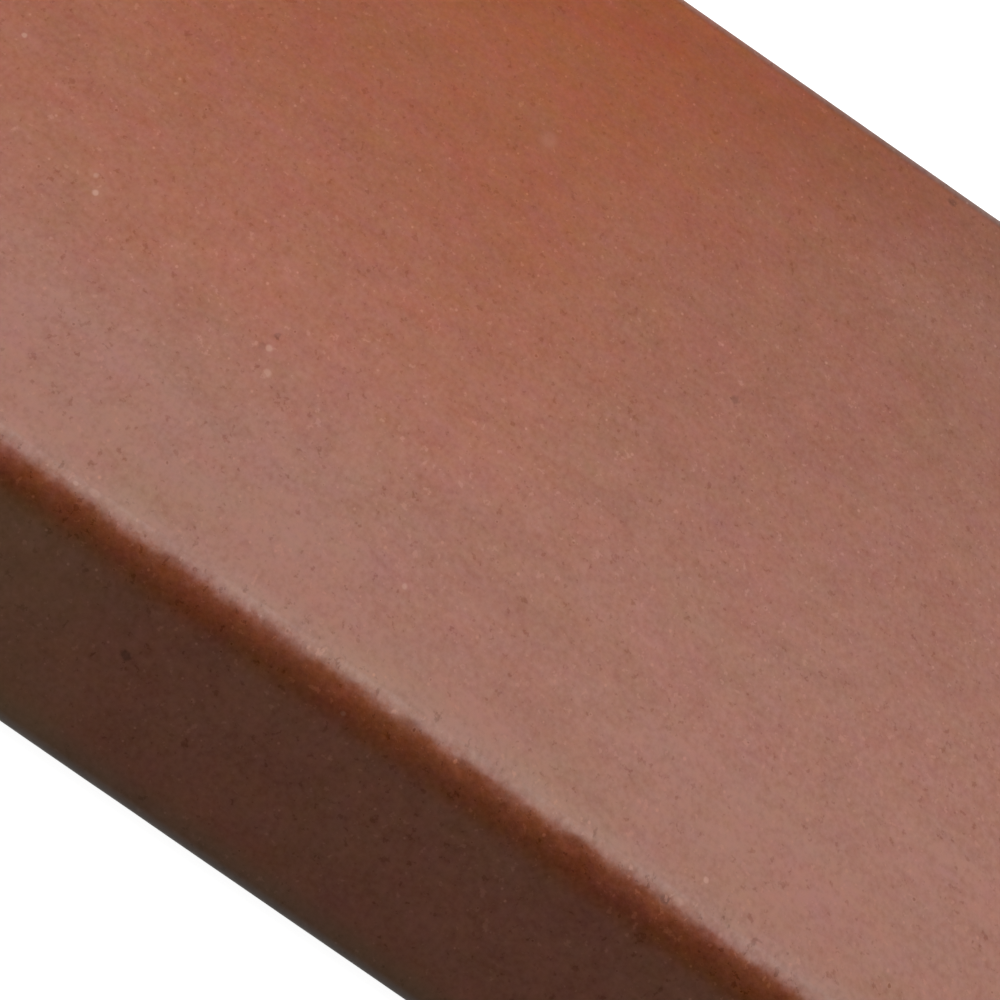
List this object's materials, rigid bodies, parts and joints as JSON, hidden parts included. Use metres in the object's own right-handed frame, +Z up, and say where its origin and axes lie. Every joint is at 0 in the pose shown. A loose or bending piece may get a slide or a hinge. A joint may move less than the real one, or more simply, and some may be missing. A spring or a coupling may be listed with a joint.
{
  "type": "clinker stair tread",
  "caption": "L-shaped unglazed clinker stair tread: a thin plate with a deep, rounded nose in front and dovetail keying grooves along its underside.",
  "frame": {"origin": "centre of the bounding box, on the floor that the tread lies on", "axes": "+X along the nosing, +Y from the nose to the back edge, +Z up; the walking face leans back by about 4.2 degrees, because the loose tread lies on the foot of its nose and its back edge"},
  "size_m": [0.294, 0.3414, 0.0354],
  "materials": {
    "clinker": "matte, unglazed"
  },
  "bodies": {
    "root": {"stair_tread": "clinker"}
  },
  "joints": []
}
